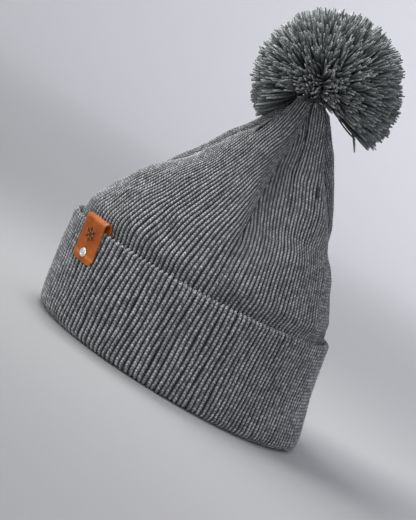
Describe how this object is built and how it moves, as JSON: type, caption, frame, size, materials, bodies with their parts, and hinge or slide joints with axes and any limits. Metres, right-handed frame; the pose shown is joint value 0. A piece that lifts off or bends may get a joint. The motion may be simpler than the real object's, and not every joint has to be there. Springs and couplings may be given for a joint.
{
  "type": "pom pom beanie",
  "caption": "Double layer ribbed knit beanie with a deep turned-up cuff, a riveted leather tab folded over the cuff's edge and a large yarn pom tied to the crown's tip.",
  "frame": {"origin": "centre of the head opening, in the plane of the brim's lower edge, which is the plane the hat stands on", "axes": "+Z from the brim to the crown's tip and the pom, -Y to the wearer's front, +X to the wearer's left"},
  "size_m": [0.1752, 0.2321, 0.2978],
  "materials": {
    "knit": "heather grey 1x1 rib knit, matt and slightly fuzzy",
    "yarn": "loose cut ends of plied grey yarn, matt",
    "thread": "dark grey sewing thread and binding cord",
    "leather": "smooth tan vegetable leather, satin, with paler cut edges",
    "rivet_steel": "nickel-plated, bright with a turned ring"
  },
  "bodies": {
    "cuff": {"cuff_face_layer": "knit", "cuff_backing_layer": "knit", "leather_tab": "leather", "rivet_cap": "rivet_steel", "rivet_post": "rivet_steel"},
    "crown": {"crown_outer_layer": "knit", "crown_lining": "knit", "dart_seam_front": "thread", "dart_seam_left": "thread", "dart_seam_back": "thread", "dart_seam_right": "thread", "closing_stitch": "thread", "tie_knot": "yarn"},
    "pom_tie": {"tie_neck": "yarn"},
    "pom": {"pom_yarn": "yarn", "pom_binding": "thread", "tie_loop": "yarn"}
  },
  "joints": [
    {"name": "cuff_turn", "type": "slide", "parent": "cuff", "child": "crown", "axis": [0, -0.1867, 0.9824], "range_m": [0, 0.062]},
    {"name": "pom_nod", "type": "hinge", "parent": "crown", "child": "pom_tie", "pos_m": [0, -0.01075, 0.2274], "axis": [1, 0, 0], "range_deg": [-20, 20], "stiffness_Nm_per_rad": 0.12},
    {"name": "pom_sway", "type": "hinge", "parent": "pom_tie", "child": "pom", "pos_m": [0, -0.01075, 0.2274], "axis": [0, 1, 0], "range_deg": [-20, 20], "stiffness_Nm_per_rad": 0.12}
  ]
}
